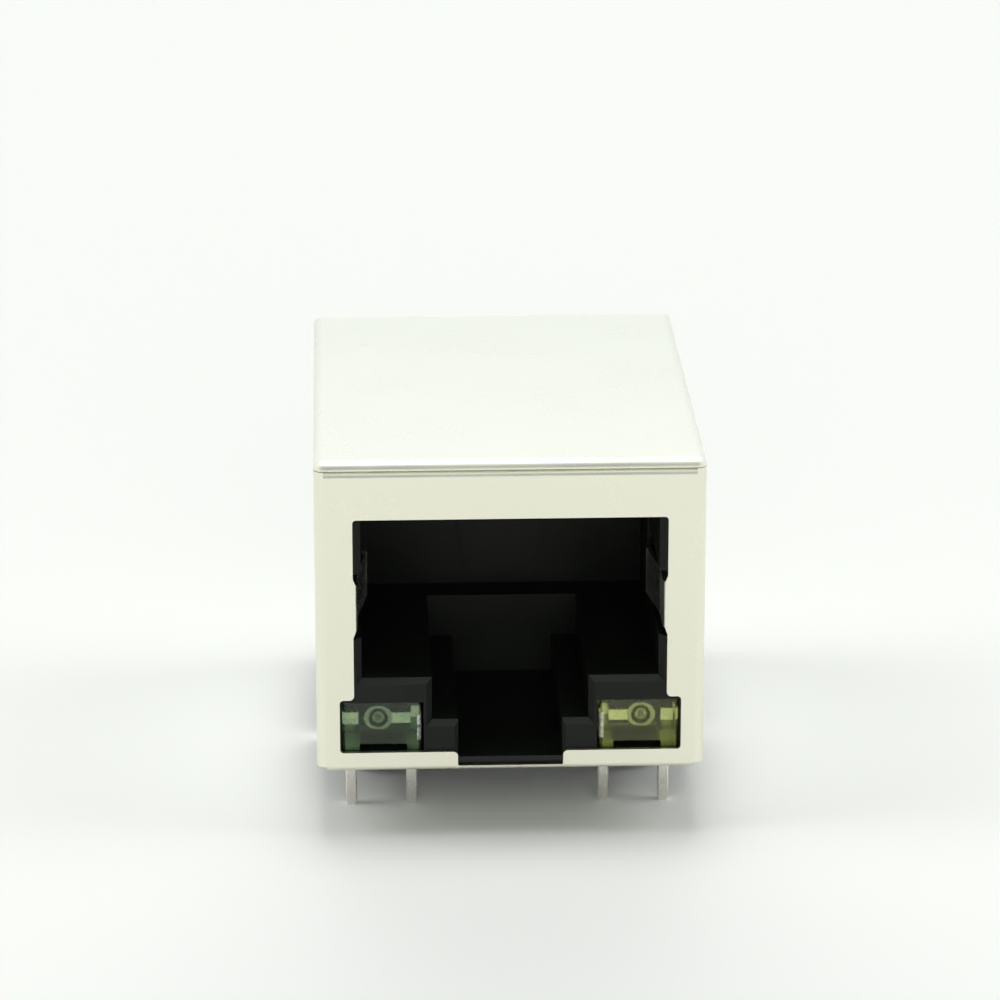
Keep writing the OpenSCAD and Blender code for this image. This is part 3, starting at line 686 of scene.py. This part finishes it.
class Bench:
    """Modelling by hand: operators on one piece at a time."""

    @staticmethod
    def clear() -> None:
        """Leaves edit mode and deselects everything."""
        if bpy.context.mode != "OBJECT":
            bpy.ops.object.mode_set(mode="OBJECT")
        bpy.ops.object.select_all(action="DESELECT")

    @classmethod
    def pick(cls, piece: bpy.types.Object) -> None:
        """Selects one piece alone and makes it the active one."""
        cls.clear()
        piece.select_set(True)
        bpy.context.view_layer.objects.active = piece

    @classmethod
    def block(cls, name: str, low: Vector, high: Vector) -> bpy.types.Object:
        """Adds a block between two corners.

        Args:
            name: the piece's name.
            low: its lowest corner.
            high: its highest corner.

        Returns:
            The block, with its place in its mesh.
        """
        cls.clear()
        bpy.ops.mesh.primitive_cube_add(size=1.0, location=(low + high) / 2, scale=high - low)
        piece = bpy.context.active_object
        piece.name = name
        piece.data.name = name
        bpy.ops.object.transform_apply(location=True, rotation=True, scale=True)
        return piece

    @classmethod
    def bevel_edges(cls, piece: bpy.types.Object, chosen: Callable[[Vector, Vector], bool],
                    width: float, segments: int) -> None:
        """Rounds the edges that a test picks.

        Args:
            piece: the piece.
            chosen: tells from an edge's two ends whether it is rounded.
            width: size of the rounding in metres.
            segments: steps round it.
        """
        cls.pick(piece)
        bpy.ops.object.mode_set(mode="EDIT")
        bpy.ops.mesh.select_mode(type="EDGE")
        bpy.ops.mesh.select_all(action="DESELECT")
        bpy.ops.object.mode_set(mode="OBJECT")
        points = piece.data.vertices
        for edge in piece.data.edges:
            first, last = (points[i].co for i in edge.vertices)
            edge.select = chosen(first, last)
        bpy.ops.object.mode_set(mode="EDIT")
        bpy.ops.mesh.bevel(offset=width, segments=segments, affect="EDGES")
        bpy.ops.object.mode_set(mode="OBJECT")

    @classmethod
    def score(cls, piece: bpy.types.Object, height: float) -> None:
        """Scores a line all round a piece, so that the faces above and below it are separate.

        Args:
            piece: the piece.
            height: the line's height in metres.
        """
        cls.pick(piece)
        bpy.ops.object.mode_set(mode="EDIT")
        bpy.ops.mesh.select_all(action="SELECT")
        bpy.ops.mesh.bisect(plane_co=(0.0, 0.0, height), plane_no=(0.0, 0.0, 1.0))
        bpy.ops.object.mode_set(mode="OBJECT")

    @classmethod
    def cut(cls, piece: bpy.types.Object, tool: bpy.types.Object) -> None:
        """Cuts a tool's shape out of a piece, and removes the tool.

        Args:
            piece: the piece.
            tool: the shape that is taken away.
        """
        cutter = piece.modifiers.new("cut", "BOOLEAN")
        cutter.operation = "DIFFERENCE"
        cutter.solver = "EXACT"
        cutter.object = tool
        cls.apply(piece)
        bpy.data.objects.remove(tool)

    @classmethod
    def soften(cls, piece: bpy.types.Object, width: float, segments: int = 2, angle: float = 35.0) -> None:
        """Rounds all sharp edges slightly and shades the piece by angle.

        Args:
            piece: the piece.
            width: size of the rounding in metres.
            segments: steps round it.
            angle: edges sharper than this many degrees are rounded.
        """
        bevel = piece.modifiers.new("soften", "BEVEL")
        bevel.width = width
        bevel.segments = segments
        bevel.limit_method = "ANGLE"
        bevel.angle_limit = math.radians(angle)
        bevel.use_clamp_overlap = True
        cls.apply(piece)
        cls.pick(piece)
        bpy.ops.object.shade_smooth_by_angle(angle=math.radians(angle))

    @classmethod
    def apply(cls, piece: bpy.types.Object) -> None:
        """Applies every modifier of a piece."""
        cls.pick(piece)
        for modifier in list(piece.modifiers):
            bpy.ops.object.modifier_apply(modifier=modifier.name)

    @classmethod
    def arch(cls, name: str, first: Vector, last: Vector, wire_d: float, steps: int = 24) -> bpy.types.Object:
        """Spins a round wire into a half circle between two points at one height, bulging towards -Y.

        Args:
            name: the piece's name.
            first: one end, at the lower X.
            last: the other end.
            wire_d: the wire's diameter.
            steps: steps round the arch.

        Returns:
            The wire.
        """
        cls.clear()
        middle = (first + last) / 2
        bpy.ops.mesh.primitive_circle_add(
            vertices=12, radius=wire_d / 2, fill_type="NGON", location=first, rotation=(math.pi / 2, 0, 0))
        piece = bpy.context.active_object
        piece.name = name
        piece.data.name = name
        bpy.ops.object.transform_apply(location=True, rotation=True, scale=True)
        bpy.ops.object.mode_set(mode="EDIT")
        bpy.ops.mesh.select_all(action="SELECT")
        bpy.ops.mesh.spin(steps=steps, angle=math.pi, center=middle, axis=(0, 0, 1))
        bpy.ops.mesh.select_all(action="SELECT")
        bpy.ops.mesh.remove_doubles(threshold=wire_d / 50)
        bpy.ops.mesh.normals_make_consistent(inside=False)
        bpy.ops.object.mode_set(mode="OBJECT")
        bpy.ops.object.shade_smooth_by_angle(angle=math.radians(40))
        return piece


def dress(names: Iterable[str], material: bpy.types.Material) -> None:
    """Gives frame nodes a material.

    Args:
        names: the nodes.
        material: their material.
    """
    for name in names:
        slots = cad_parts[name].material_slots
        for slot in slots:
            slot.link = "OBJECT"
            slot.material = material
        LOG.info("%s: %s", name, material.name)


def nodes_like(start: str) -> list[str]:
    """Returns the frame's nodes whose names begin with start, in order."""
    return sorted(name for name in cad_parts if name.startswith(start))


# ---------------------------------------------------------------- sub-assemblies


@dataclass
class Shield:
    """The two stampings: the front shield with its springs, and the top cover."""

    nodes: tuple[str, ...] = ("front_shield", "top_cover")
    tone: Rgb = (0.85, 0.865, 0.80)
    shade: Rgb = (0.835, 0.85, 0.785)
    roughness: float = 0.3

    def build(self) -> None:
        """Dresses both stampings."""
        # The sheet's finish paints shade towards the rear and a warm reflection of the table on the front
        # face.
        finish = ShieldSheet(
            "nickel_plated_sheet", tone=self.tone, shade=self.shade, roughness=self.roughness,
            face_y=CAD_BOX[0][1], rear_y=CAD_BOX[1][1])
        dress(self.nodes, finish.build())


@dataclass
class Housing:
    """The black moulded body with the plug's cavity."""

    node: str = "housing"
    finish: Finish = MouldedPlastic(
        "black_moulding", tone=(0.0055, 0.0075, 0.0055), shade=(0.008, 0.0105, 0.008), roughness=0.4,
        gloss_level=0.2)

    def build(self) -> None:
        """Dresses the housing."""
        dress([self.node], self.finish.build())


BOND_GOLD = PlatedMetal("bond_gold", tone=(0.95, 0.70, 0.28), shade=(0.9, 0.64, 0.24), roughness=0.2)


@dataclass
class Indicator:
    """One light: a clear lens over the lead frame, its chip and its bond wire."""

    side: Side
    epoxy: Finish
    # Finish with the painted highlight on the lens's inner rounded edge.
    glint_finish: Finish
    edge_r: float = 0.18 * MM
    soft_r: float = 0.03 * MM
    inner_foot_w: float = 0.6 * MM
    outer_foot_w: float = 0.72 * MM
    foot_h: float = 0.26 * MM
    bond_d: float = 0.03 * MM
    # Height band of the painted highlight, above the lens's foot.
    glint_low: float = 0.42 * MM
    glint_high: float = 1.52 * MM

    @property
    def stem(self) -> str:
        """How the names of this indicator's nodes begin."""
        return f"indicator_{self.side.label}"

    def build(self) -> None:
        """Builds the lens and the bond wire."""
        self._make_lens()
        self._make_bond_wire()

    def _make_lens(self) -> None:
        """Models the lens: rounded front edges, and a recess below between its two feet."""
        node = f"{self.stem}_lens"
        low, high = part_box(node)
        lens = Bench.block(f"{self.stem}_clear_lens", low, high)
        front = low.y
        Bench.bevel_edges(
            lens,
            lambda a, b: abs(a.x - b.x) < SAME_PLACE
            and max(abs(a.y - front), abs(b.y - front)) < SAME_PLACE,
            self.edge_r, 5)
        Bench.score(lens, low.z + self.glint_low)
        Bench.score(lens, low.z + self.glint_high)
        left_foot, right_foot = self.inner_foot_w, self.outer_foot_w
        if self.side is Side.LEFT:
            left_foot, right_foot = right_foot, left_foot
        margin = Vector((0.0, 1.0 * MM, 0.0))
        recess = Bench.block(
            "recess",
            Vector((low.x + left_foot, low.y, low.z - 1.0 * MM)) - margin,
            Vector((high.x - right_foot, high.y, low.z + self.foot_h)) + margin)
        Bench.cut(lens, recess)
        Bench.soften(lens, self.soft_r)
        lens.data.materials.clear()
        lens.data.materials.append(self.epoxy.build())
        # The second material paints a highlight on the inner rounded edge, between the two scored lines.
        lens.data.materials.append(self.glint_finish.build())
        for face in lens.data.polygons:
            face.material_index = int(self._is_glint_strip(face, low, high))
        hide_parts(node)
        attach(lens, ROOT_BODY)
        LOG.info("%s: %d faces", lens.name, len(lens.data.polygons))

    def _is_glint_strip(self, face: bpy.types.MeshPolygon, low: Vector, high: Vector) -> bool:
        """Tells whether a face is on the rounding that carries the painted highlight.

        Args:
            face: a face of the lens.
            low: the lens's lowest corner.
            high: the lens's highest corner.

        Returns:
            Whether it is on the rounding beside the latch, between the two scored lines.
        """
        inner_x = high.x if self.side is Side.LEFT else low.x
        rounded = abs(face.center.x - inner_x) < self.edge_r and face.center.y - low.y < self.edge_r
        slanted = 0.15 < abs(face.normal.y) < 0.99 and abs(face.normal.z) < 0.1
        between = self.glint_low < face.center.z - low.z < self.glint_high
        return rounded and slanted and between

    def _make_bond_wire(self) -> None:
        """Models the fine gold wire that arches from the chip to the post."""
        chip_low, chip_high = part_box(f"{self.stem}_chip")
        post_low, post_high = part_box(f"{self.stem}_post_lead")
        post_x = (post_low.x + post_high.x) / 2
        chip_x = (chip_low.x + chip_high.x) / 2
        height = (chip_low.z + chip_high.z) / 2
        face = post_low.y
        ends = sorted((chip_x, post_x))
        wire = Bench.arch(
            f"{self.stem}_bond_wire",
            Vector((ends[0], face, height)),
            Vector((ends[1], face, height)),
            self.bond_d)
        wire.data.materials.append(BOND_GOLD.build())
        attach(wire, ROOT_BODY)
        LOG.info("%s: %d faces", wire.name, len(wire.data.polygons))


@dataclass
class LeadFrames:
    """The indicators' tinned leads and light-emitting chips, and the jack's board pins."""

    tone: Rgb = (0.80, 0.80, 0.77)
    shade: Rgb = (0.70, 0.70, 0.67)
    roughness: float = 0.26
    line_cell: float = 0.08 * MM
    line_depth: float = 0.002 * MM
    cloud: float = 0.8 * MM
    chip: Finish = MouldedPlastic(
        "light_chip", tone=(0.40, 0.40, 0.33), shade=(0.32, 0.32, 0.26), roughness=0.25)

    def build(self) -> None:
        """Dresses the leads, pins and chips."""
        shared = {
            "tone": self.tone, "shade": self.shade, "roughness": self.roughness,
            "line_cell": self.line_cell, "line_depth": self.line_depth, "cloud": self.cloud,
        }
        plain = PlatedMetal("tinned_lead", **shared).build()
        dress([name for name in nodes_like("indicator_") if name.endswith("_post_lead")], plain)
        dress(nodes_like("board_pin_"), plain)
        for side in Side:
            low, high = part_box(f"indicator_{side.label}_chip")
            middle = (low + high) / 2
            # Each cup lead gets painted shade in its round cup, centred on its chip.
            cup = CupMetal(f"tinned_cup_{side.label}", cup_x=middle.x, cup_z=middle.z, **shared)
            dress([f"indicator_{side.label}_cup_lead"], cup.build())
        dress([f"indicator_{side.label}_chip" for side in Side], self.chip.build())


@dataclass
class Contacts:
    """The eight formed wires and the insert that carries them."""

    wires: Finish = PartPlatedMetal(
        "contact_wire", above=(0.90, 0.62, 0.22), below=(0.66, 0.66, 0.64), plane=4.5 * MM,
        axis=Axis.Z, roughness=0.24)
    insert: Finish = MouldedPlastic(
        "insert_moulding", tone=(0.02, 0.02, 0.022), shade=(0.026, 0.026, 0.028), roughness=0.38)

    def build(self) -> None:
        """Dresses the wires and the insert."""
        dress([f"contact_{number}" for number in range(1, 9)], self.wires.build())
        dress(["contact_insert"], self.insert.build())


@dataclass
class Magnetics:
    """The case at the rear with its four wound cores."""

    case: Finish = MouldedPlastic(
        "case_moulding", tone=(0.02, 0.02, 0.021), shade=(0.028, 0.028, 0.03), roughness=0.45)
    ferrite: Finish = MouldedPlastic(
        "sintered_ferrite", tone=(0.05, 0.05, 0.053), shade=(0.035, 0.035, 0.038), roughness=0.62,
        grain_cell=0.04 * MM, grain_depth=0.006 * MM)
    copper: Finish = WoundWire("enamelled_copper", tone=(0.62, 0.24, 0.09), shade=(0.45, 0.15, 0.05))

    def build(self) -> None:
        """Dresses the case, the cores and the windings."""
        wound = nodes_like("transformer_") + nodes_like("choke_")
        dress(["magnetics_case"], self.case.build())
        dress([name for name in wound if name.endswith("_core")], self.ferrite.build())
        dress([name for name in wound if name.endswith("_winding")], self.copper.build())


@dataclass
class InnerBoard:
    """The board inside with its chips, and the base that holds the pins."""

    resistor_cap: float = 0.3 * MM
    capacitor_cap: float = 0.5 * MM
    base: Finish = MouldedPlastic(
        "base_moulding", tone=(0.018, 0.018, 0.02), shade=(0.024, 0.024, 0.026), roughness=0.4)

    def build(self) -> None:
        """Dresses the board, the base and the chips."""
        resist = Laminate(
            "solder_resist", tone=(0.012, 0.10, 0.035), shade=(0.016, 0.13, 0.045), edge=(0.30, 0.27, 0.14))
        dress(["inner_board"], resist.build())
        dress(["pin_base"], self.base.build())
        for name in nodes_like("resistor_"):
            low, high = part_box(name)
            chip = CappedChip(
                f"{name}_finish", body=(0.018, 0.019, 0.02), caps=TINNED, axis=Axis.Y,
                low_cap=low.y + self.resistor_cap, high_cap=high.y - self.resistor_cap)
            dress([name], chip.build())
        low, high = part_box("surge_capacitor")
        block = CappedChip(
            "surge_capacitor_finish", body=(0.30, 0.19, 0.09), caps=TINNED, axis=Axis.X,
            low_cap=low.x + self.capacitor_cap, high_cap=high.x - self.capacitor_cap)
        dress(["surge_capacitor"], block.build())


# ---------------------------------------------------------------- studio


@dataclass(frozen=True)
class Softbox:
    """A soft light far off: where it stands, how wide it is and how bright."""

    azimuth: float
    elevation: float
    width: float
    level: float

    @property
    def direction(self) -> Rgb:
        """Unit vector towards the light. Azimuth is in degrees from +Y, clockwise from above."""
        turn, rise = math.radians(self.azimuth), math.radians(self.elevation)
        return (math.sin(turn) * math.cos(rise), math.cos(turn) * math.cos(rise), math.sin(rise))

    def add_to(self, shader: ShaderTree, direction: Socket) -> Socket:
        """Wires the light into the world.

        Args:
            shader: the world's tree.
            direction: the direction that is looked up.

        Returns:
            The light's brightness in that direction.
        """
        towards = shader.add("VectorMath", operation="DOT_PRODUCT")
        shader.feed(towards.inputs[0], direction)
        towards.inputs[1].default_value = self.direction
        fall = shader.maths("MULTIPLY", shader.maths("SUBTRACT", towards.outputs["Value"], 1.0),
                            1.0 / math.radians(self.width) ** 2)
        return shader.maths("MULTIPLY", shader.maths("EXPONENT", fall), self.level)


@dataclass
class Studio:
    """Pale table, soft light from all round, and the camera."""

    floor_size: float = 6.0
    camera_place: Vector = field(default_factory=lambda: Vector((-6.844, -183.182, 70.317)) * MM)
    camera_tilt: float = 71.483
    camera_roll: float = 0.036
    camera_turn: float = -2.113
    lens_mm: float = 164.09
    fill: float = 0.035
    lights: tuple[Softbox, ...] = (
        Softbox(270.0, 42.0, 9.0, 4.3),
        Softbox(270.0, 57.0, 9.0, 1.9),
        Softbox(90.0, 43.0, 10.0, 4.3),
        Softbox(180.0, 15.0, 16.0, 2.8),
        Softbox(0.0, 15.0, 16.0, 4.6),
        Softbox(0.0, 83.0, 5.5, 14.0),
    )
    mirrored_level: float = 1.0
    mirrored_lights: tuple[Softbox, ...] = (
        Softbox(0.0, 88.0, 17.0, 2.2),
    )
    front_gap: Softbox = Softbox(180.0, 25.0, 26.0, 0.62)

    def build(self) -> None:
        """Builds the floor, the light and the camera."""
        self._floor()
        self._world()
        self._camera()

    def _floor(self) -> None:
        """Adds the table under the pins' tips. It looks a little warmer where metal mirrors it."""
        Bench.clear()
        lowest = CAD_BOX[0][2]
        bpy.ops.mesh.primitive_plane_add(size=self.floor_size, location=(0.0, 0.0, lowest))
        floor = bpy.context.active_object
        floor.name = "table"
        bpy.ops.object.transform_apply(location=True, rotation=True, scale=True)
        material = bpy.data.materials.new("pale_table")
        material.use_nodes = True
        shader = ShaderTree(material.node_tree)
        surface = material.node_tree.nodes["Principled BSDF"]
        clouds = shader.noise(shader.place(), 9.0, 2.0)
        plain = shader.blend(clouds, (0.968, 0.985, 0.962), (0.978, 0.993, 0.972))
        mirrored = shader.add("LightPath").outputs["Is Glossy Ray"]
        shader.feed(surface.inputs["Base Color"], shader.blend(mirrored, plain, (0.97, 0.96, 0.90)))
        surface.inputs["Roughness"].default_value = 0.9
        surface.inputs["Specular IOR Level"].default_value = 0.0
        floor.data.materials.append(material)

    def _world(self) -> None:
        """Lights the scene softly. Metal mirrors a plain surround, dimmer in front and bright overhead."""
        world = bpy.data.worlds.new("soft_surround")
        bpy.context.scene.world = world
        world.use_nodes = True
        world.node_tree.nodes.clear()
        shader = ShaderTree(world.node_tree)
        direction = shader.add("TexCoord").outputs["Generated"]
        level = self.fill
        for light in self.lights:
            level = shader.maths("ADD", light.add_to(shader, direction), level)
        lit = shader.add("Background")
        shader.feed(lit.inputs["Color"], (0.99, 1.0, 0.985))
        shader.feed(lit.inputs["Strength"], level)
        mirror = self.mirrored_level
        for light in self.mirrored_lights:
            mirror = shader.maths("ADD", light.add_to(shader, direction), mirror)
        mirror = shader.maths("SUBTRACT", mirror, self.front_gap.add_to(shader, direction))
        mirrored = shader.add("Background")
        shader.feed(mirrored.inputs["Color"], (0.985, 1.0, 0.975))
        shader.feed(mirrored.inputs["Strength"], mirror)
        seen = shader.add("Background")
        shader.feed(seen.inputs["Color"], (0.975, 1.0, 0.972))
        path = shader.add("LightPath")
        glossy = shader.maths("MAXIMUM", path.outputs["Is Glossy Ray"], path.outputs["Is Transmission Ray"])
        behind = shader.add("MixShader")
        shader.feed(behind.inputs[0], glossy)
        shader.feed(behind.inputs[1], lit.outputs[0])
        shader.feed(behind.inputs[2], mirrored.outputs[0])
        choose = shader.add("MixShader")
        shader.feed(choose.inputs[0], path.outputs["Is Camera Ray"])
        shader.feed(choose.inputs[1], behind.outputs[0])
        shader.feed(choose.inputs[2], seen.outputs[0])
        shader.feed(shader.add("OutputWorld").inputs["Surface"], choose.outputs[0])

    def _camera(self) -> None:
        """Places the camera."""
        data = bpy.data.cameras.new("view")
        data.lens = self.lens_mm
        data.sensor_width = SENSOR_W
        data.clip_start = 0.01
        camera = bpy.data.objects.new("view", data)
        camera.location = self.camera_place
        angles = (self.camera_tilt, self.camera_roll, self.camera_turn)
        camera.rotation_euler = tuple(math.radians(angle) for angle in angles)
        bpy.context.scene.collection.objects.link(camera)
        bpy.context.scene.camera = camera


def main() -> None:
    """Builds the jack's looks and the studio, piece by piece."""
    bpy.context.scene.view_settings.view_transform = "Standard"
    Studio().build()
    green = TintedEpoxy(
        "green_epoxy", tint=(0.42, 0.58, 0.37), deep_tint=(0.36, 0.52, 0.31), clearness=0.96)
    yellow = TintedEpoxy(
        "yellow_epoxy", tint=(0.76, 0.84, 0.34), deep_tint=(0.68, 0.76, 0.28), clearness=0.95)
    # Painted highlights for the lenses' inner rounded edges.
    green_glint = PaintedGlintEpoxy("green_painted_glint", painted_glint=(0.62, 0.66, 0.60), clear=(0.10, 0.14, 0.09))
    yellow_glint = PaintedGlintEpoxy("yellow_painted_glint", painted_glint=(0.72, 0.72, 0.66), clear=(0.40, 0.42, 0.30))
    assemblies = [
        Shield(),
        Housing(),
        Indicator(Side.LEFT, green, green_glint),
        Indicator(Side.RIGHT, yellow, yellow_glint),
        LeadFrames(),
        Contacts(),
        Magnetics(),
        InnerBoard(),
    ]
    for assembly in assemblies:
        assembly.build()
        LOG.info("%s done", type(assembly).__name__)


if __name__ == "__main__":
    main()
